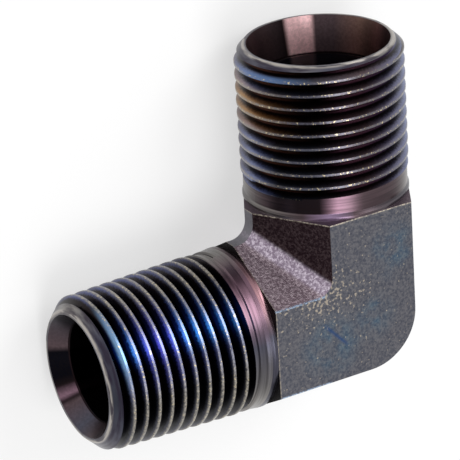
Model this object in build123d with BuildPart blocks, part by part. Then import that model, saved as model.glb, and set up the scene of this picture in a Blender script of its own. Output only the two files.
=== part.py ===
# A 90 degree flareless compression elbow, forged and turned from one piece of steel.
# +X runs out of the compression end, +Y out of the taper pipe-thread end, and +Z is up
# from a wrench flat. The origin is where the two bores' axes cross. Millimetres.
from build123d import *
import math
import os

os.makedirs("parts", exist_ok=True)

# Both threads run right-handed, with 14 turns to the inch and 60 degrees between the sides
# of the groove.
thread_pitch = 25.4 / 14
thread_angle = 60
thread_crest_width = 0.3

# The forged block is hexagonal in section. Its wrench flats face up and down, and the
# forging's trimmed parting line leaves a narrow land along the ridges between the other faces.
across_flats = 21.8
parting_land_width = 2.0
outer_bend_radius = 0.8
inner_corner_radius = 2.4

# Compression end: a straight 7/8 inch thread outside, and inside a 24 degree cone for the
# sleeve, a socket for 5/8 inch tube and the tube stop.
compression_face = 36.9
compression_block_end = 16.0
compression_thread_radius = 11.1
compression_neck_end = 19.25
compression_neck_radius = 10.85
compression_neck_rise = 0.25
compression_thread_start = 18.49
compression_rim_outer_radius = 9.8
sleeve_cone_mouth_radius = 9.4
sleeve_cone_depth = 5.0
sleeve_cone_half_angle = 12
tube_socket_radius = 8.0
tube_stop_depth = 10.0
compression_bore_radius = 6.15

# Pipe end: a 1/2 inch taper pipe thread outside, and inside a 60 degree seat and a bore.
pipe_face = 38.7
pipe_block_end = 15.1
pipe_thread_small_radius = 10.36
pipe_taper = 1 / 16
pipe_shoulder_end = 17.7
pipe_shoulder_radius = 10.9
pipe_neck_end = 18.9
pipe_neck_radius = 10.65
pipe_neck_drop = 0.15
pipe_neck_rise = 0.3
pipe_thread_start = 17.52
pipe_rim_outer_radius = 8.75
pipe_seat_mouth_radius = 8.3
pipe_seat_half_angle = 30
pipe_bore_radius = 6.85

# Each leg has a low collar at its foot, where the turning tool met the block. It stands a
# little proud of the wrench flats.
collar_height = 0.15
collar_width = 0.4
compression_collar_slope = 0.45
pipe_collar_slope = 1.1

# The two bores are drilled from their ends and run a little past each other.
drill_overrun = 4.5
drill_half_angle = 59

# A thread's groove starts at this share of its depth, and is full after half a turn.
thread_start_share = 0.5

flat_half = across_flats / 2
face_half = flat_half * math.tan(math.radians(30))
ridge = flat_half / math.cos(math.radians(30))
land = ridge - parting_land_width / 2 * math.tan(math.radians(30))
land_half = parting_land_width / 2
collar_radius = flat_half + collar_height
core_radius = flat_half - collar_height
groove_half = (thread_pitch - thread_crest_width) / 2
groove_depth = groove_half / math.tan(math.radians(thread_angle / 2))

# Half of the block's section, from the lower wrench flat round the ridge to the upper one.
# The first number is the distance from the bore's axis, the second the height.
side_points = [
    (face_half, -flat_half),
    (land, -land_half),
    (land, land_half),
    (face_half, flat_half),
]
section_points = side_points + [(-u, v) for u, v in reversed(side_points)]
corner_points = [(outer_bend_radius, flat_half), (outer_bend_radius, -flat_half)]
corner_points += [(-u, v) for u, v in side_points]

# Planes that hold each leg's axis, with the axis as their second direction.
compression_plane = Plane(origin=(0, 0, 0), x_dir=(0, 1, 0), z_dir=(0, 0, -1))
pipe_plane = Plane(origin=(0, 0, 0), x_dir=(1, 0, 0), z_dir=(0, 0, 1))

# The leg's outside from the block to its face, as distance from the axis and along it.
compression_outline = [
    (0, 0),
    (core_radius, 0),
    (core_radius, compression_block_end),
    (collar_radius, compression_block_end),
    (collar_radius, compression_block_end + collar_width),
    (
        compression_neck_radius,
        compression_block_end + collar_width + compression_collar_slope,
    ),
    (compression_neck_radius, compression_neck_end),
    (compression_thread_radius, compression_neck_end + compression_neck_rise),
    (
        compression_thread_radius,
        compression_face - compression_thread_radius + compression_rim_outer_radius,
    ),
    (compression_rim_outer_radius, compression_face),
    (0, compression_face),
]

# The pipe thread's crests widen from the face inwards, by the standard taper.
pipe_taper_slope = pipe_taper / 2
chamfer_height = (pipe_thread_small_radius - pipe_rim_outer_radius) / (1 - pipe_taper_slope)
pipe_chamfer_radius = pipe_rim_outer_radius + chamfer_height
pipe_large_radius = pipe_thread_small_radius + pipe_taper_slope * (pipe_face - pipe_neck_end)
pipe_outline = [
    (0, 0),
    (core_radius, 0),
    (core_radius, pipe_block_end),
    (collar_radius, pipe_block_end),
    (collar_radius, pipe_block_end + collar_width),
    (pipe_shoulder_radius, pipe_block_end + collar_width + pipe_collar_slope),
    (pipe_shoulder_radius, pipe_shoulder_end),
    (pipe_neck_radius, pipe_shoulder_end + pipe_neck_drop),
    (pipe_neck_radius, pipe_neck_end - pipe_neck_rise),
    (pipe_large_radius, pipe_neck_end),
    (pipe_chamfer_radius, pipe_face - chamfer_height),
    (pipe_rim_outer_radius, pipe_face),
    (0, pipe_face),
]

# What is drilled and reamed out of each leg.
cone_end_radius = sleeve_cone_mouth_radius - sleeve_cone_depth * math.tan(
    math.radians(sleeve_cone_half_angle)
)
compression_drill_tip = compression_bore_radius / math.tan(math.radians(drill_half_angle))
compression_hole = [
    (0, -drill_overrun - compression_drill_tip),
    (compression_bore_radius, -drill_overrun),
    (compression_bore_radius, compression_face - tube_stop_depth),
    (tube_socket_radius, compression_face - tube_stop_depth),
    (tube_socket_radius, compression_face - sleeve_cone_depth),
    (cone_end_radius, compression_face - sleeve_cone_depth),
    (sleeve_cone_mouth_radius, compression_face),
    (0, compression_face),
]
pipe_drill_tip = pipe_bore_radius / math.tan(math.radians(drill_half_angle))
pipe_seat_depth = (pipe_seat_mouth_radius - pipe_bore_radius) / math.tan(
    math.radians(pipe_seat_half_angle)
)
pipe_hole = [
    (0, -drill_overrun - pipe_drill_tip),
    (pipe_bore_radius, -drill_overrun),
    (pipe_bore_radius, pipe_face - pipe_seat_depth),
    (pipe_seat_mouth_radius, pipe_face),
    (0, pipe_face),
]


# The grooves are cut half a turn at a time from the neck outwards. The compression thread's
# starts on the -Y side and the pipe thread's on the +X side.
half_pitch = thread_pitch / 2
compression_half_turns = math.ceil((compression_face - compression_thread_start) / half_pitch)
pipe_half_turns = math.ceil((pipe_face - pipe_thread_start) / half_pitch)
runout = (1 - thread_start_share) * groove_depth
runout_slope = runout / half_pitch
groove_air = 0.1 * groove_depth


def groove_points(crest_radius):
    """The groove's section, as distance from the leg's axis and along it."""
    air_half = groove_half * (1 + groove_air / groove_depth)
    return [
        (crest_radius - groove_depth, 0),
        (crest_radius + groove_air, -air_half),
        (crest_radius + groove_air, air_half),
    ]


with BuildPart() as compression_leg:
    with BuildSketch(compression_plane):
        Polygon(*compression_outline, align=None)
    revolve(axis=Axis.X)
    grooves = []
    for half_turn in range(compression_half_turns):
        start = compression_thread_start + half_turn * half_pitch
        side = -1 if half_turn % 2 == 0 else 1
        start_radius = compression_thread_radius
        inward_slope = 0
        if half_turn == 0:
            start_radius = start_radius + runout
            inward_slope = runout_slope
        with BuildLine() as groove_line:
            Helix(
                pitch=thread_pitch,
                height=half_pitch,
                radius=start_radius,
                center=(start, 0, 0),
                direction=(1, 0, 0),
                cone_angle=-math.degrees(math.atan(inward_slope)),
            )
        groove_path = groove_line.line.rotate(Axis.X, 180 * half_turn + 90)
        with BuildSketch(Plane(origin=(start, 0, 0), x_dir=(0, side, 0), z_dir=(0, 0, -side))):
            Polygon(*groove_points(start_radius), align=None)
        grooves.append(sweep(path=groove_path, is_frenet=True, mode=Mode.PRIVATE))
    add(grooves, mode=Mode.SUBTRACT)

with BuildPart() as pipe_leg:
    with BuildSketch(pipe_plane):
        Polygon(*pipe_outline, align=None)
    revolve(axis=Axis.Y)
    grooves = []
    for half_turn in range(pipe_half_turns):
        start = pipe_thread_start + half_turn * half_pitch
        side = 1 if half_turn % 2 == 0 else -1
        start_radius = pipe_thread_small_radius + pipe_taper_slope * (pipe_face - start)
        inward_slope = pipe_taper_slope
        if half_turn == 0:
            start_radius = start_radius + runout
            inward_slope = pipe_taper_slope + runout_slope
        with BuildLine() as groove_line:
            Helix(
                pitch=thread_pitch,
                height=half_pitch,
                radius=start_radius,
                center=(0, start, 0),
                direction=(0, 1, 0),
                cone_angle=-math.degrees(math.atan(inward_slope)),
            )
        groove_path = groove_line.line.rotate(Axis.Y, 180 * half_turn + 90)
        with BuildSketch(Plane(origin=(0, start, 0), x_dir=(side, 0, 0), z_dir=(0, 0, side))):
            Polygon(*groove_points(start_radius), align=None)
        grooves.append(sweep(path=groove_path, is_frenet=True, mode=Mode.PRIVATE))
    add(grooves, mode=Mode.SUBTRACT)

with BuildPart() as elbow_body:
    # The straight arms of the block.
    with BuildSketch(Plane(origin=(outer_bend_radius, 0, 0), x_dir=(0, 1, 0), z_dir=(1, 0, 0))):
        Polygon(*section_points, align=None)
    extrude(amount=compression_block_end - outer_bend_radius)
    with BuildSketch(Plane(origin=(0, outer_bend_radius, 0), x_dir=(-1, 0, 0), z_dir=(0, 1, 0))):
        Polygon(*section_points, align=None)
    extrude(amount=pipe_block_end - outer_bend_radius)
    # The rounded outer corner, turned about a line just inside the elbow.
    with BuildSketch(Plane(origin=(outer_bend_radius, 0, 0), x_dir=(0, 1, 0), z_dir=(1, 0, 0))):
        Polygon(*corner_points, align=None)
    corner_axis = Axis((outer_bend_radius, outer_bend_radius, 0), (0, 0, 1))
    revolve(axis=corner_axis, revolution_arc=-90)
    # The hollow rounding where the arms meet inside the elbow, along the land and then along
    # the slope to each wrench flat.
    with BuildSketch(Plane(origin=(land, land, -land_half))) as inner_corner:
        with BuildLine():
            Line((inner_corner_radius, 0), (0, 0))
            Line((0, 0), (0, inner_corner_radius))
            CenterArc(
                (inner_corner_radius, inner_corner_radius), inner_corner_radius, 180, 90
            )
        make_face()
    extrude(amount=parting_land_width)
    for up in (-1, 1):
        mitre = Vector(face_half - land, face_half - land, up * (flat_half - land_half))
        corner_face = inner_corner.sketch.moved(Location((0, 0, (1 + up) * land_half)))
        extrude(corner_face, amount=mitre.length, dir=mitre.normalized())
    # The two turned legs.
    add(compression_leg.part)
    add(pipe_leg.part)
    # The ways through.
    with BuildSketch(compression_plane):
        Polygon(*compression_hole, align=None)
    revolve(axis=Axis.X, mode=Mode.SUBTRACT)
    with BuildSketch(pipe_plane):
        Polygon(*pipe_hole, align=None)
    revolve(axis=Axis.Y, mode=Mode.SUBTRACT)

elbow_body.part.label = "elbow_body"
export_step(elbow_body.part, "parts/elbow_body.step")
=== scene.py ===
import math
import bpy
from mathutils import Matrix, Vector


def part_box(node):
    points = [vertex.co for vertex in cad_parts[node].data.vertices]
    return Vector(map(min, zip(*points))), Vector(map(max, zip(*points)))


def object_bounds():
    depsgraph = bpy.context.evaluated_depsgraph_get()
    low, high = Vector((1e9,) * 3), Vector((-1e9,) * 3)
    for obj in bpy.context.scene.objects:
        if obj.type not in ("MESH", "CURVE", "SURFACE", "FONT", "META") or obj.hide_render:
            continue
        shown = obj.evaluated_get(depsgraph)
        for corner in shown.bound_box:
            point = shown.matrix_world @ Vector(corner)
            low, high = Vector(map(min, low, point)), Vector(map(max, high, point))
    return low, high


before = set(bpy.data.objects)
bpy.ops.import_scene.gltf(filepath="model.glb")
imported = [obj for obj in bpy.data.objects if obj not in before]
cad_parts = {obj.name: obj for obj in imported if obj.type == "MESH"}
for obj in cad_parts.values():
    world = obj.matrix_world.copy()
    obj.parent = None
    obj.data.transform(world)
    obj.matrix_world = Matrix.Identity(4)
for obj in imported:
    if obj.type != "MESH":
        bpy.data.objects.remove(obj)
size_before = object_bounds()

# Elbow body: one forging of plain carbon steel, turned, drilled and threaded, with no other
# piece on it. It was heated and quenched in oil, so all of it keeps a dark oxide skin, which
# is worn through to bright metal along the thread crests and the block's edges.
elbow = bpy.data.objects["elbow_body"]
mm = 0.001
mouth = Vector(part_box("elbow_body")[1]) / mm
thread_pitch = 25.4 / 14
flat_half = 10.9
slope_angle = math.radians(30)
ridge_half = flat_half * math.tan(slope_angle)

# The two legs, in mm. Each one's angle starts on the other leg's side and turns up over the
# top. Both threads are right-handed, and "hand" is the way they climb as that angle grows.
# "crest_at" is where a crest lies at angle 0. "neck", "rim", "hole", "foot" and "waist" are
# radii: of the neck, the flat rim, the cone's mouth and foot, and the bore behind it. "flank"
# is how far a flank's tint reaches from its crest, and "fade" is where it grows from faint to
# full, which on the compression leg is before its thread starts. "warm_band" is the middle of
# the turns with a tint of their own, and "lead_angle" is where the first turn is bluest, in
# degrees. "bore_share" is how far the bore's tint gives way to "bore_tone".
leg_sizes = {
    "compression": {
        "along": "X", "sideways": "Y", "across": (0, 1, 1), "hand": -1,
        "face": mouth.x, "block_end": 16.0, "thread_from": 19.25, "crest_at": 18.49,
        "neck": 10.85, "rim": 9.8, "hole": 9.4, "foot": 8.35, "waist": 8.0,
        "flank": 0.62, "fade": (10.0, 12.0), "warm_band": 30.3, "lead_angle": 16,
        "lead_tint_and_highlight": "56729E", "bore_tone": "585874", "bore_share": 0.4,
        "painted_end_tone": "6A5C66", "burr_tone": "C0B6A4",
    },
    "pipe": {
        "along": "Y", "sideways": "X", "across": (1, 0, 1), "hand": 1,
        "face": mouth.y, "block_end": 15.1, "thread_from": 18.9, "crest_at": 18.427,
        "neck": 10.65, "rim": 8.75, "hole": 8.3, "foot": 6.95, "waist": 6.85,
        "flank": 0.46, "fade": (20.0, 27.0), "warm_band": 31.5, "lead_angle": 48,
        "lead_tint_and_highlight": "7A9CBE", "bore_tone": "000000", "bore_share": 0.8,
        "painted_end_tone": "0E0A0B", "burr_tone": "8E867C",
    },
}


def linear(hex_colour):
    """An sRGB hex colour as linear red, green, blue and an alpha of 1."""
    values = [int(hex_colour[i:i + 2], 16) / 255 for i in (0, 2, 4)]
    return [v / 12.92 if v <= 0.04045 else ((v + 0.055) / 1.055) ** 2.4 for v in values] + [1]


# Inputs go by number where their names repeat. A MapRange takes its value at 0 and turns the
# range from 1 to 2 into 3 to 4, or into 0 to 1. A Mix takes its share at 0 and two numbers at
# 2 and 3, or two colours at 6 and 7 with the result at output 2.
def add_node(tree, kind, inputs, output=0, **settings):
    """Adds a shader node with its settings, feeds its inputs, and gives back one output."""
    new = tree.nodes.new("ShaderNode" + kind)
    for name, value in settings.items():
        setattr(new, name, value)
    for key, value in inputs.items():
        if isinstance(value, bpy.types.NodeSocket):
            tree.links.new(value, new.inputs[key])
        else:
            new.inputs[key].default_value = value
    return new.outputs[output]


# Oil-quenched carbon steel. Its thin oxide tints brown, violet and blue where heat made it
# thicker, and its gloss is a soft metal gloss. The cuts of the thread are painted near black
# as shade, and some tints round the legs are painted highlights and reflections.
oxide_steel = bpy.data.materials.new("oil_quenched_carbon_steel")
oxide_steel.use_nodes = True
steel = oxide_steel.node_tree
steel.nodes.clear()
place = add_node(steel, "TexCoord", {}, "Object")
facing = add_node(steel, "TexCoord", {}, "Normal")
place_mm = add_node(steel, "VectorMath", {0: place, "Scale": 1 / mm}, operation="SCALE")
axes = add_node(steel, "SeparateXYZ", {0: place_mm}).node.outputs
facing_axes = add_node(steel, "SeparateXYZ", {0: facing}).node.outputs

# The skin of the forged block: a fine grit-blasted grain, with large faint teal patches where
# the oil ran. The grain is 0.1 mm on the real one and is drawn coarser, so that it shows. All
# widths are in mm.
grain_width = 0.38
fine_grain_width = 0.29
pebble_width = 0.37
speck_width = 0.45
mottle_width = 2.5
grain = add_node(
    steel,
    "TexNoise",
    {"Vector": place_mm, "Scale": 1 / grain_width, "Detail": 3.0, "Roughness": 0.7},
)
fine_grain = add_node(
    steel, "TexNoise", {"Vector": place_mm, "Scale": 1 / fine_grain_width, "Detail": 2.0}
)
pebbles = add_node(
    steel,
    "TexNoise",
    {"Vector": place_mm, "Scale": 1 / pebble_width, "Detail": 3.0, "Roughness": 0.65},
)
speck_noise = add_node(
    steel, "TexNoise", {"Vector": place_mm, "Scale": 1 / speck_width, "Detail": 2.0}
)
mottle = add_node(
    steel,
    "TexNoise",
    {"Vector": place_mm, "Scale": 1 / mottle_width, "Detail": 3.0, "Roughness": 0.6},
)
grain_share = add_node(
    steel, "MapRange", {0: grain, 1: 0.34, 2: 0.68}, interpolation_type="SMOOTHSTEP"
)
pebble_share = add_node(
    steel, "MapRange", {0: pebbles, 1: 0.4, 2: 0.68}, interpolation_type="SMOOTHSTEP"
)
nicked = add_node(steel, "MapRange", {0: fine_grain, 1: 0.4, 2: 0.6, 3: 0.15, 4: 0.9})

# The teal patches, each with its middle on the wrench flat and its radius.
teal_patches = (
    ((1.3, 0.2, 0), 4.2),
    ((-0.9, 6.8, 0), 6.0),
    ((10.0, -3.0, 0), 5.0),
)
level_place = add_node(steel, "VectorMath", {0: place_mm, 1: (1, 1, 0)}, operation="MULTIPLY")
teal_share = 0.0
for middle, radius in teal_patches:
    from_middle = add_node(
        steel, "VectorMath", {0: level_place, 1: middle}, "Value", operation="DISTANCE"
    )
    in_patch = add_node(
        steel,
        "MapRange",
        {0: from_middle, 1: radius, 2: 0.1 * radius},
        interpolation_type="SMOOTHSTEP",
    )
    teal_share = add_node(steel, "Math", {0: teal_share, 1: in_patch}, operation="MAXIMUM")
mottled = add_node(steel, "MapRange", {0: mottle, 1: 0.4, 2: 0.62, 3: 0.15, 4: 0.85})
teal_share = add_node(steel, "Math", {0: teal_share, 1: mottled}, operation="MULTIPLY")
dark_grain = add_node(
    steel, "Mix", {0: teal_share, 6: linear("44464F"), 7: linear("364C60")}, 2, data_type="RGBA"
)
light_grain = add_node(
    steel, "Mix", {0: teal_share, 6: linear("605F63"), 7: linear("52646F")}, 2, data_type="RGBA"
)
colour = add_node(
    steel, "Mix", {0: grain_share, 6: dark_grain, 7: light_grain}, 2, data_type="RGBA"
)
rough = add_node(steel, "MapRange", {0: grain, 1: 0.3, 2: 0.7, 3: 0.42, 4: 0.56})

# Faces of the block that differ, told apart by the way they face: the smooth land where the
# flash was trimmed, the two pebbled slopes inside the elbow, and the rounding between them.
# Each slope has the way it faces and its darkest and lightest tones. The slopes are one pebbled
# skin, painted dark on the compression arm as shade and light on the pipe arm as lit, and the
# rounding's light tone is a painted highlight.
land_tone = "747278"
rounding_highlight_tones = ("847686", "CABFCC")
slope_out = math.cos(slope_angle)
slope_up = math.sin(slope_angle)
inner_slopes = (
    ((0, slope_out, slope_up), "281C20", "463A3C"),
    ((slope_out, 0, slope_up), "76666F", "A6989F"),
)
rounding_way = (slope_out * math.sqrt(0.5), slope_out * math.sqrt(0.5), slope_up)
upright = add_node(steel, "Math", {0: facing_axes["Z"]}, operation="ABSOLUTE")
folded = add_node(
    steel, "CombineXYZ", {0: facing_axes["X"], 1: facing_axes["Y"], 2: upright}
)
is_land = add_node(
    steel, "MapRange", {0: upright, 1: 0.25, 2: 0.1}, interpolation_type="SMOOTHSTEP"
)
colour = add_node(
    steel, "Mix", {0: is_land, 6: colour, 7: linear(land_tone)}, 2, data_type="RGBA"
)
inward = add_node(
    steel, "VectorMath", {0: folded, 1: rounding_way}, "Value", operation="DOT_PRODUCT"
)
is_rounding = add_node(
    steel, "MapRange", {0: inward, 1: 0.83, 2: 0.95}, interpolation_type="SMOOTHSTEP"
)
tone = add_node(
    steel,
    "Mix",
    {0: pebble_share, 6: linear(rounding_highlight_tones[0]), 7: linear(rounding_highlight_tones[1])},
    2,
    data_type="RGBA",
)
colour = add_node(steel, "Mix", {0: is_rounding, 6: colour, 7: tone}, 2, data_type="RGBA")
pebbled = is_rounding
for way, dark, light in inner_slopes:
    towards = add_node(
        steel, "VectorMath", {0: folded, 1: way}, "Value", operation="DOT_PRODUCT"
    )
    is_slope = add_node(
        steel, "MapRange", {0: towards, 1: 0.9, 2: 0.985}, interpolation_type="SMOOTHSTEP"
    )
    tone = add_node(
        steel, "Mix", {0: pebble_share, 6: linear(dark), 7: linear(light)}, 2, data_type="RGBA"
    )
    colour = add_node(steel, "Mix", {0: is_slope, 6: colour, 7: tone}, 2, data_type="RGBA")
    pebbled = add_node(steel, "Math", {0: pebbled, 1: is_slope}, operation="MAXIMUM")

# The block's two end faces, where the turning tool stopped, and the nicked burr round each.
# The end face at the pipe end is painted black as shade, and the other one mauve grey as a painted
# sheen.
burr_width = 0.25
for size in leg_sizes.values():
    along = axes[size["along"]]
    block_end = size["block_end"]
    on_end = add_node(steel, "Math", {0: along, 1: block_end, 2: 0.03}, operation="COMPARE")
    by_end = add_node(
        steel, "MapRange", {0: along, 1: block_end - burr_width, 2: block_end - 0.1}
    )
    by_end = add_node(steel, "Math", {0: by_end, 1: nicked}, operation="MULTIPLY")
    colour = add_node(
        steel, "Mix", {0: by_end, 6: colour, 7: linear(size["burr_tone"])}, 2, data_type="RGBA"
    )
    colour = add_node(
        steel, "Mix", {0: on_end, 6: colour, 7: linear(size["painted_end_tone"])}, 2, data_type="RGBA"
    )

# The ridge between the pipe arm's flat and slope, worn to a pale blue line. It starts past the
# corner inside the elbow.
ridge_tone = "94A8C0"
ridge_width = 0.22
ridge_from = 7.0
folded_place = add_node(steel, "VectorMath", {0: place_mm}, operation="ABSOLUTE")
from_ridge = add_node(
    steel, "VectorMath", {0: folded_place, 1: (1, 0, 1)}, operation="MULTIPLY"
)
from_ridge = add_node(
    steel,
    "VectorMath",
    {0: from_ridge, 1: (ridge_half, 0, flat_half)},
    "Value",
    operation="DISTANCE",
)
by_ridge = add_node(steel, "MapRange", {0: from_ridge, 1: ridge_width, 2: 0.08})
past_corner = add_node(steel, "MapRange", {0: axes["Y"], 1: ridge_from, 2: ridge_from + 0.6})
by_ridge = add_node(steel, "Math", {0: by_ridge, 1: past_corner}, operation="MULTIPLY")
by_ridge = add_node(steel, "Math", {0: by_ridge, 1: nicked}, operation="MULTIPLY")
colour = add_node(
    steel, "Mix", {0: by_ridge, 6: colour, 7: linear(ridge_tone)}, 2, data_type="RGBA"
)

# Straw specks on the wrench flats, which gather in an oval near the corner inside the elbow.
speck_tone = "9E9486"
speck_middle = (6.2, 7.83, 0)
speck_oval = (1, 0.6, 0)
is_flat = add_node(steel, "MapRange", {0: upright, 1: 0.9, 2: 0.99})
from_corner = add_node(
    steel, "VectorMath", {0: place_mm, 1: speck_middle}, operation="SUBTRACT"
)
from_corner = add_node(
    steel, "VectorMath", {0: from_corner, 1: speck_oval}, operation="MULTIPLY"
)
from_corner = add_node(steel, "VectorMath", {0: from_corner}, "Value", operation="LENGTH")
speck_limit = add_node(steel, "MapRange", {0: from_corner, 1: 1.2, 2: 5.5, 3: 0.53, 4: 0.67})
speck = add_node(steel, "Math", {0: speck_noise, 1: speck_limit}, operation="SUBTRACT")
speck = add_node(steel, "MapRange", {0: speck, 1: 0.0, 2: 0.08, 4: 0.8})
speck = add_node(steel, "Math", {0: speck, 1: is_flat}, operation="MULTIPLY")
colour = add_node(
    steel, "Mix", {0: speck, 6: colour, 7: linear(speck_tone)}, 2, data_type="RGBA"
)

# One blue streak that the oil left on the upper flat, soft at its ends and sides.
streak_tone = "2E4264"
streak_middle = (0.3, 6.1, 0)
streak_turn = math.radians(-42.6)
streak_half_length = 2.9
streak_half_width = 0.38
streak_place = add_node(
    steel, "VectorMath", {0: place_mm, 1: streak_middle}, operation="SUBTRACT"
)
streak_place = add_node(
    steel,
    "Mapping",
    {"Vector": streak_place, "Rotation": (0, 0, streak_turn)},
    vector_type="POINT",
)
streak = add_node(steel, "SeparateXYZ", {0: streak_place}).node.outputs
streak_length = add_node(steel, "Math", {0: streak["X"]}, operation="ABSOLUTE")
streak_length = add_node(
    steel, "MapRange", {0: streak_length, 1: streak_half_length, 2: 1.6}
)
streak_width = add_node(steel, "Math", {0: streak["Y"]}, operation="ABSOLUTE")
streak_width = add_node(steel, "MapRange", {0: streak_width, 1: streak_half_width, 2: 0.0})
in_streak = add_node(steel, "Math", {0: streak_length, 1: streak_width}, operation="MULTIPLY")
in_streak = add_node(steel, "Math", {0: in_streak, 1: is_flat}, operation="MULTIPLY")
on_top = add_node(steel, "Math", {0: axes["Z"], 1: 0.0}, operation="GREATER_THAN")
in_streak = add_node(steel, "Math", {0: in_streak, 1: on_top}, operation="MULTIPLY")
colour = add_node(
    steel, "Mix", {0: in_streak, 6: colour, 7: linear(streak_tone)}, 2, data_type="RGBA"
)

# Tints of the oxide, from bare steel through the browns and purples to blue and black. The pale
# pink glint is no tint but a painted reflection of light from overhead.
oxide = {
    "bare": "A09A90",
    "worn": "86827E",
    "dull": "66646A",
    "slate": "4E4E5A",
    "charcoal": "34363F",
    "soot": "1B1416",
    "black": "0A0A10",
    "bronze": "A4805A",
    "brown": "84685E",
    "umber": "54464A",
    "mauve": "806472",
    "rose": "C0929A",
    "painted_glint": "F2C6C8",
    "lilac": "A48CAC",
    "violet": "7678C4",
    "indigo": "565C86",
    "haze": "7880A2",
    "blue": "405688",
    "sky": "64A2D6",
    "navy": "0F1A3A",
}

# The two turned legs. Round each leg the tint changes with angle, partly as heat tint and
# partly as painted highlight, reflection and shade. Each band is the angle in degrees where its
# tint is purest, and the far side goes back to the first one. The thread has its crests, its
# flanks, the flanks of the turns in its warm band, the painted shade in the groove between
# them, and the thin line at the very root. The collar is the slope between neck and block. The
# tints out of the photograph's sight are a guess.
far_side = 200
bands = {
    "compression": {
        # The darkest tints from about 25 to 55 degrees are a painted dark reflection, and the lilac
        # at 60 on the collar is a painted highlight.
        "crest": ((-60, "worn"), (-15, "bare"), (40, "slate"), (90, "dull"), (150, "worn")),
        "flank": ((-60, "umber"), (0, "haze"), (25, "charcoal"), (50, "charcoal"),
                  (90, "umber"), (150, "haze")),
        "warm_flank": ((-60, "umber"), (-10, "bronze"), (45, "soot"), (90, "umber"),
                       (150, "haze")),
        "shaded_groove": ((-60, "soot"), (120, "soot"), (150, "charcoal")),
        "root": ((-60, "umber"), (10, "brown"), (55, "soot"), (88, "mauve"), (150, "indigo")),
        "neck": ((-60, "dull"), (-25, "worn"), (10, "umber"), (38, "soot"), (54, "soot"),
                 (66, "mauve"), (85, "umber"), (115, "umber"), (150, "worn")),
        "collar": ((-60, "dull"), (0, "worn"), (42, "umber"), (60, "lilac"), (78, "umber"),
                   (130, "dull")),
        "rim": ((-60, "dull"), (30, "slate"), (50, "dull"), (65, "slate"), (150, "worn")),
        # The pale pink band from 244 to 264 degrees in the cone is a painted reflection of light
        # from overhead.
        "hole": ((0, "umber"), (160, "umber"), (200, "brown"), (225, "umber"), (241, "umber"),
                 (244, "painted_glint"), (264, "painted_glint"), (268, "soot"), (290, "umber")),
    },
    "pipe": {
        # The sky blue at 57 degrees on the flanks and the rose at 45 on the collar are painted
        # highlights.
        "crest": ((-60, "worn"), (20, "bare"), (57, "haze"), (100, "bare"), (140, "bare")),
        "flank": ((-60, "slate"), (-15, "indigo"), (15, "charcoal"), (35, "blue"), (57, "sky"),
                  (72, "indigo"), (95, "charcoal")),
        "warm_flank": ((-60, "slate"), (-15, "indigo"), (15, "slate"), (57, "violet"),
                       (95, "charcoal")),
        "shaded_groove": ((-60, "soot"), (25, "soot"), (50, "navy"), (75, "black"), (130, "black")),
        "root": ((-60, "charcoal"), (25, "soot"), (50, "navy"), (75, "soot"),
                 (150, "charcoal")),
        "neck": ((-60, "dull"), (-5, "worn"), (30, "mauve"), (57, "mauve"), (80, "slate"),
                 (130, "worn")),
        "collar": ((-60, "umber"), (10, "umber"), (45, "rose"), (75, "slate"), (150, "slate")),
        "rim": ((-60, "dull"), (-10, "worn"), (35, "slate"), (90, "charcoal"), (130, "slate")),
        "hole": ((0, "charcoal"), (165, "umber"), (190, "slate"), (218, "umber"),
                 (223, "soot"), (228, "mauve"), (238, "soot"), (246, "black"), (272, "black"),
                 (278, "umber"), (330, "charcoal")),
    },
}

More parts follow.
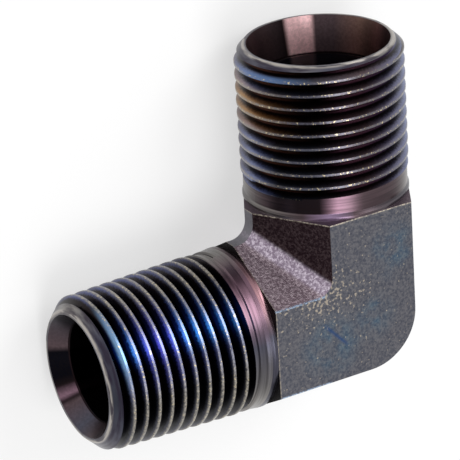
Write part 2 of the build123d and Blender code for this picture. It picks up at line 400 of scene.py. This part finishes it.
# Sizes and tones that the two legs share, in mm. Turning marks are 0.1 mm apart on the real
# one and are drawn wider, so that they show.
ring_gap = 0.35
crest_half = 0.25
root_from = 0.68
lead_turn = 3.3
turned_soot = "1C181C"
chip_tone = "CDBE9C"
chamfer_soot = "2A2230"
edge_tone = "A8A29C"
hole_soot = "14100F"
# The step at the foot of the cone is painted dark as shade.
foot_shade_tone = "1A1214"
leg_rough = 0.3
relief = grain
for leg, size in leg_sizes.items():
    along = axes[size["along"]]
    face = size["face"]
    block_end = size["block_end"]
    across = add_node(steel, "VectorMath", {0: place_mm, 1: size["across"]}, operation="MULTIPLY")
    reach = add_node(steel, "VectorMath", {0: across}, "Value", operation="LENGTH")
    angle = add_node(
        steel, "Math", {0: axes["Z"], 1: axes[size["sideways"]]}, operation="ARCTAN2"
    )

    # Outside, the angle runs from -60 to 300 degrees, and in the hole from 0 to 360.
    tints = {}
    for name, stops in bands[leg].items():
        first = stops[0][0]
        turned = add_node(
            steel,
            "Math",
            {0: angle, 1: math.radians(first + 360), 2: math.radians(first)},
            operation="WRAP",
        )
        turned = add_node(
            steel, "MapRange", {0: turned, 1: math.radians(first), 2: math.radians(first + 360)}
        )
        tints[name] = add_node(steel, "ValToRGB", {0: turned}, "Color")
        ramp = tints[name].node.color_ramp.elements
        ramp[0].color = linear(oxide[stops[0][1]])
        ramp[1].position = (far_side - first) / 360 if name != "hole" else 1.0
        ramp[1].color = linear(oxide[stops[0][1]])
        for degrees, tint_name in stops[1:]:
            ramp.new((degrees - first) / 360).color = linear(oxide[tint_name])

    # Turning marks: fine rings round the leg, each of which fades out after about a radian.
    ring_place = add_node(steel, "CombineXYZ", {0: along, 1: reach, 2: angle})
    ring_place = add_node(
        steel,
        "VectorMath",
        {0: ring_place, 1: (1 / ring_gap, 1 / ring_gap, 0.9)},
        operation="MULTIPLY",
    )
    rings = add_node(steel, "TexNoise", {"Vector": ring_place, "Scale": 1.0, "Detail": 2.0})
    ring_share = add_node(steel, "MapRange", {0: rings, 1: 0.3, 2: 0.7})

    # The plain neck and the collar's slope, with turning marks darker than the tint.
    on_collar = add_node(
        steel, "MapRange", {0: along, 1: block_end + 0.95, 2: block_end + 0.8}
    )
    turned_tint = add_node(
        steel, "Mix", {0: on_collar, 6: tints["neck"], 7: tints["collar"]}, 2, data_type="RGBA"
    )
    turned_dark = add_node(
        steel, "Mix", {0: 0.6, 6: turned_tint, 7: linear(turned_soot)}, 2, data_type="RGBA"
    )
    leg_colour = add_node(
        steel, "Mix", {0: ring_share, 6: turned_dark, 7: turned_tint}, 2, data_type="RGBA"
    )

    # The thread, by how far a point is from the middle of its crest, in mm along the leg. It is
    # above 0 on the side that faces the mouth.
    slant = size["hand"] * thread_pitch / math.tau
    from_crest = add_node(steel, "Math", {0: along, 1: size["crest_at"]}, operation="SUBTRACT")
    from_crest = add_node(
        steel, "Math", {0: angle, 1: slant, 2: from_crest}, operation="MULTIPLY_ADD"
    )
    from_crest = add_node(
        steel, "Math", {0: from_crest, 1: thread_pitch / 2, 2: -thread_pitch / 2}, operation="WRAP"
    )
    away = add_node(steel, "Math", {0: from_crest}, operation="ABSOLUTE")
    root_share = add_node(
        steel, "MapRange", {0: away, 1: root_from, 2: 0.84, 4: 0.9}, interpolation_type="SMOOTHSTEP"
    )
    # The groove's own tint is painted shade.
    thread_colour = add_node(
        steel, "Mix", {0: root_share, 6: tints["shaded_groove"], 7: tints["root"]}, 2, data_type="RGBA"
    )

    # Its flanks, whose tint has a ragged edge. The pipe thread's tint fades towards the neck.
    wobble = add_node(steel, "MapRange", {0: fine_grain, 1: 0.3, 2: 0.7, 3: -0.06, 4: 0.06})
    ragged = add_node(steel, "Math", {0: from_crest, 1: wobble}, operation="ADD")
    flank_share = add_node(
        steel, "MapRange", {0: ragged, 1: size["flank"], 2: 0.2}, interpolation_type="SMOOTHSTEP"
    )
    near_crest = add_node(steel, "MapRange", {0: away, 1: 0.7, 2: 0.6})
    flank_share = add_node(steel, "Math", {0: flank_share, 1: near_crest}, operation="MULTIPLY")
    fade_from, fade_to = size["fade"]
    faded = add_node(steel, "MapRange", {0: along, 1: fade_from, 2: fade_to, 3: 0.35, 4: 1.0})
    flank_share = add_node(steel, "Math", {0: flank_share, 1: faded}, operation="MULTIPLY")
    from_band = add_node(steel, "Math", {0: along, 1: size["warm_band"]}, operation="SUBTRACT")
    from_band = add_node(steel, "Math", {0: from_band}, operation="ABSOLUTE")
    warm_share = add_node(steel, "MapRange", {0: from_band, 1: 4.0, 2: 1.6})
    flank_tint = add_node(
        steel,
        "Mix",
        {0: warm_share, 6: tints["flank"], 7: tints["warm_flank"]},
        2,
        data_type="RGBA",
    )
    thread_colour = add_node(
        steel, "Mix", {0: flank_share, 6: thread_colour, 7: flank_tint}, 2, data_type="RGBA"
    )

    # Its crests, worn to bare metal between nicks.
    by_crest = add_node(steel, "MapRange", {0: away, 1: crest_half, 2: 0.1})
    nicks = add_node(steel, "MapRange", {0: grain, 1: 0.36, 2: 0.6, 3: 0.25, 4: 1.0})
    crest_share = add_node(steel, "Math", {0: by_crest, 1: nicks}, operation="MULTIPLY")
    thread_colour = add_node(
        steel, "Mix", {0: crest_share, 6: thread_colour, 7: tints["crest"]}, 2, data_type="RGBA"
    )

    # The first turn is bright blue on its upper side, partly as tint and partly as a painted
    # highlight.
    from_lead = add_node(
        steel, "Math", {0: angle, 1: math.radians(size["lead_angle"])}, operation="SUBTRACT"
    )
    from_lead = add_node(steel, "Math", {0: from_lead}, operation="ABSOLUTE")
    lead_share = add_node(
        steel, "MapRange", {0: from_lead, 1: math.radians(38), 2: math.radians(8), 4: 0.75}
    )
    first_turn = add_node(
        steel, "MapRange", {0: along, 1: face - lead_turn, 2: face - lead_turn + 0.6}
    )
    lead_share = add_node(steel, "Math", {0: lead_share, 1: first_turn}, operation="MULTIPLY")
    on_turn = add_node(steel, "MapRange", {0: away, 1: 0.55, 2: 0.3})
    lead_share = add_node(steel, "Math", {0: lead_share, 1: on_turn}, operation="MULTIPLY")
    thread_colour = add_node(
        steel,
        "Mix",
        {0: lead_share, 6: thread_colour, 7: linear(size["lead_tint_and_highlight"])},
        2,
        data_type="RGBA",
    )

    # Bright chips on the crests.
    chips = add_node(steel, "MapRange", {0: fine_grain, 1: 0.6, 2: 0.68})
    chips = add_node(steel, "Math", {0: chips, 1: by_crest}, operation="MULTIPLY")
    thread_colour = add_node(
        steel, "Mix", {0: chips, 6: thread_colour, 7: linear(chip_tone)}, 2, data_type="RGBA"
    )

    # The thread starts past the neck, and its groove runs out in the neck.
    thread_from = size["thread_from"]
    past_neck = add_node(steel, "MapRange", {0: along, 1: thread_from, 2: thread_from + 0.15})
    in_groove = add_node(
        steel, "MapRange", {0: reach, 1: size["neck"] - 0.01, 2: size["neck"] - 0.06}
    )
    on_thread = add_node(steel, "Math", {0: past_neck, 1: in_groove}, operation="MAXIMUM")
    leg_colour = add_node(
        steel, "Mix", {0: on_thread, 6: leg_colour, 7: thread_colour}, 2, data_type="RGBA"
    )

    # The chamfer that starts the thread, and the flat rim. The edge between them is nicked
    # bright, and the chamfer is smeared dark. The chamfer falls 1 mm for each mm along.
    rim_line = add_node(steel, "Math", {0: along, 1: reach}, operation="ADD")
    on_chamfer = add_node(
        steel, "Math", {0: rim_line, 1: face + size["rim"], 2: 0.05}, operation="COMPARE"
    )
    on_face = add_node(steel, "Math", {0: along, 1: face - 0.03}, operation="GREATER_THAN")
    on_rim = add_node(steel, "Math", {0: on_chamfer, 1: on_face}, operation="MAXIMUM")
    smears = add_node(
        steel, "VectorMath", {0: ring_place, 1: (0.6, 0.6, 3.0)}, operation="MULTIPLY"
    )
    smears = add_node(steel, "TexNoise", {"Vector": smears, "Scale": 1.0, "Detail": 3.0})
    smear_share = add_node(steel, "MapRange", {0: smears, 1: 0.38, 2: 0.6})
    rim_dark = add_node(
        steel, "Mix", {0: 0.75, 6: tints["rim"], 7: linear(chamfer_soot)}, 2, data_type="RGBA"
    )
    rim_colour = add_node(
        steel, "Mix", {0: smear_share, 6: rim_dark, 7: tints["rim"]}, 2, data_type="RGBA"
    )
    from_edge = add_node(steel, "Math", {0: reach, 1: size["rim"]}, operation="SUBTRACT")
    from_edge = add_node(steel, "Math", {0: from_edge}, operation="ABSOLUTE")
    edge_share = add_node(steel, "MapRange", {0: from_edge, 1: 0.3, 2: 0.1})
    dents = add_node(steel, "MapRange", {0: smears, 1: 0.42, 2: 0.54, 3: 0.1, 4: 1.0})
    edge_share = add_node(steel, "Math", {0: edge_share, 1: dents}, operation="MULTIPLY")
    rim_colour = add_node(
        steel, "Mix", {0: edge_share, 6: rim_colour, 7: linear(edge_tone)}, 2, data_type="RGBA"
    )
    leg_colour = add_node(
        steel, "Mix", {0: on_rim, 6: leg_colour, 7: rim_colour}, 2, data_type="RGBA"
    )

    # The cone or seat inside the mouth with its tints by angle, the step at its foot painted dark
    # as shade, and the bore behind it.
    foot = size["foot"]
    in_hole = add_node(steel, "Math", {0: reach, 1: size["hole"] + 0.01}, operation="LESS_THAN")
    hole_dark = add_node(
        steel, "Mix", {0: 0.25, 6: tints["hole"], 7: linear(hole_soot)}, 2, data_type="RGBA"
    )
    hole_colour = add_node(
        steel, "Mix", {0: grain_share, 6: hole_dark, 7: tints["hole"]}, 2, data_type="RGBA"
    )
    past_foot = add_node(steel, "MapRange", {0: reach, 1: foot + 0.04, 2: foot})
    at_waist = add_node(steel, "Math", {0: reach, 1: size["waist"], 2: 0.03}, operation="COMPARE")
    # On the pipe leg the bore's tone is black, painted shade far down the bore.
    bore_colour = add_node(
        steel,
        "Mix",
        {0: size["bore_share"], 6: tints["hole"], 7: linear(size["bore_tone"])},
        2,
        data_type="RGBA",
    )
    bore_colour = add_node(
        steel,
        "Mix",
        {0: at_waist, 6: linear(foot_shade_tone), 7: bore_colour},
        2,
        data_type="RGBA",
    )
    hole_colour = add_node(
        steel, "Mix", {0: past_foot, 6: hole_colour, 7: bore_colour}, 2, data_type="RGBA"
    )
    leg_colour = add_node(
        steel, "Mix", {0: in_hole, 6: leg_colour, 7: hole_colour}, 2, data_type="RGBA"
    )

    # All of this goes on past the end of the block, where nothing is pebbled and the turning
    # marks take the place of the grain. The hole is smooth.
    on_leg = add_node(steel, "MapRange", {0: along, 1: block_end + 0.01, 2: block_end + 0.04})
    colour = add_node(steel, "Mix", {0: on_leg, 6: colour, 7: leg_colour}, 2, data_type="RGBA")
    rough = add_node(steel, "Mix", {0: on_leg, 2: rough, 3: leg_rough}, data_type="FLOAT")
    pebbled = add_node(steel, "Mix", {0: on_leg, 2: pebbled, 3: 0.0}, data_type="FLOAT")
    low_rings = add_node(steel, "Math", {0: rings, 1: 0.25}, operation="MULTIPLY")
    low_rings = add_node(steel, "Mix", {0: in_hole, 2: low_rings, 3: 0.1}, data_type="FLOAT")
    relief = add_node(steel, "Mix", {0: on_leg, 2: relief, 3: low_rings}, data_type="FLOAT")

# The pebbled slopes stand out more than the flats, and the turning marks less.
grain_height = 0.08 * mm
pebble_height = 0.1 * mm
bump = add_node(
    steel, "Bump", {"Height": relief, "Strength": 0.4, "Distance": grain_height}
)
pebble_relief = add_node(steel, "Math", {0: pebble_share, 1: pebbled}, operation="MULTIPLY")
bump = add_node(
    steel,
    "Bump",
    {"Height": pebble_relief, "Strength": 0.35, "Distance": pebble_height, "Normal": bump},
)
shader = add_node(
    steel,
    "BsdfPrincipled",
    {"Base Color": colour, "Metallic": 1.0, "Roughness": rough, "Normal": bump},
)
output = steel.nodes.new("ShaderNodeOutputMaterial")
steel.links.new(shader, output.inputs["Surface"])
for material_slot in elbow.material_slots:
    material_slot.material = oxide_steel

# Floor: a large sheet of matt white paper that the fitting lies on. It glows a little to the
# camera and in reflections, so that it reads as white there, and keeps the soft shadow.
paper_width = 4
paper_glow = 0.6
paper_white = linear("FFFFFF")
bpy.ops.object.select_all(action="DESELECT")
bpy.ops.mesh.primitive_plane_add(size=paper_width, location=(0, 0, size_before[0][2]))
floor = bpy.context.object
floor.name = "floor"
white_paper = bpy.data.materials.new("white_paper")
white_paper.use_nodes = True
paper = white_paper.node_tree
paper.nodes.clear()
rays = add_node(paper, "LightPath", {}).node.outputs
seen = add_node(
    paper, "Math", {0: rays["Is Camera Ray"], 1: rays["Is Glossy Ray"]}, operation="MAXIMUM"
)
seen = add_node(paper, "Math", {0: seen, 1: paper_glow}, operation="MULTIPLY")
matt = add_node(paper, "BsdfDiffuse", {"Color": paper_white})
glow = add_node(paper, "Emission", {"Color": paper_white, "Strength": 1.0})
sheet = add_node(paper, "MixShader", {0: seen, 1: matt, 2: glow})
output = paper.nodes.new("ShaderNodeOutputMaterial")
paper.links.new(sheet, output.inputs["Surface"])
floor.data.materials.append(white_paper)

# Light: a white studio. Its walls are plain white to the camera, in reflections and through
# glass, and light the fitting only softly, so that the soft boxes give it its shape.
wall_light = 0.45
studio = bpy.data.worlds.new("studio")
bpy.context.scene.world = studio
studio.use_nodes = True
walls = studio.node_tree
walls.nodes.clear()
rays = add_node(walls, "LightPath", {}).node.outputs
seen = add_node(
    walls, "Math", {0: rays["Is Camera Ray"], 1: rays["Is Glossy Ray"]}, operation="MAXIMUM"
)
seen = add_node(walls, "Math", {0: seen, 1: rays["Is Transmission Ray"]}, operation="MAXIMUM")
soft = add_node(walls, "Background", {"Color": paper_white, "Strength": wall_light})
white = add_node(walls, "Background", {"Color": paper_white, "Strength": 1.0})
around = add_node(walls, "MixShader", {0: seen, 1: soft, 2: white})
output = walls.nodes.new("ShaderNodeOutputWorld")
walls.links.new(around, output.inputs["Surface"])

# Camera: a long lens that looks down on the fitting as it lies, from the photograph's side.
# The first two vectors point from the fitting back to the camera and up in the picture, and
# the lens, the aim and the distance in metres give the photograph's frame.
view_back = Vector((0.40716, 0.44453, 0.79791)).normalized()
view_up = Vector((0.91134, -0.25642, -0.32219)).normalized()
view_right = view_up.cross(view_back).normalized()
aim = Vector((0.00898, 0.00938, -0.00989))
distance = 0.3846
camera_data = bpy.data.cameras.new("camera")
camera_data.sensor_width = 36
camera_data.lens = 223.6
camera_data.clip_start = 0.01
camera_data.clip_end = 20
camera_data.dof.use_dof = False
camera = bpy.data.objects.new("camera", camera_data)
bpy.context.collection.objects.link(camera)
turn = Matrix((view_right, view_up, view_back)).transposed().to_4x4()
camera.matrix_world = Matrix.Translation(aim + view_back * distance) @ turn
bpy.context.scene.camera = camera

# Soft boxes: two large cloth-fronted lamps on stands, one to the side and one overhead. Each
# has the way to it from the fitting, its two sides in metres and its power in watts.
box_distance = 0.6
for name, way, width, length, power in (
    ("side_box", (0.56, -0.44, 0.70), 0.27, 0.38, 1.3),
    ("top_box", (-0.22, 0.12, 0.97), 0.36, 0.36, 1.6),
):
    lamp_data = bpy.data.lights.new(name, "AREA")
    lamp_data.shape = "RECTANGLE"
    lamp_data.size = width
    lamp_data.size_y = length
    lamp_data.energy = power
    lamp = bpy.data.objects.new(name, lamp_data)
    bpy.context.collection.objects.link(lamp)
    way = Vector(way).normalized()
    lamp.location = aim + way * box_distance
    lamp.rotation_euler = way.to_track_quat("Z", "Y").to_euler()

bpy.context.scene.view_settings.view_transform = "Standard"
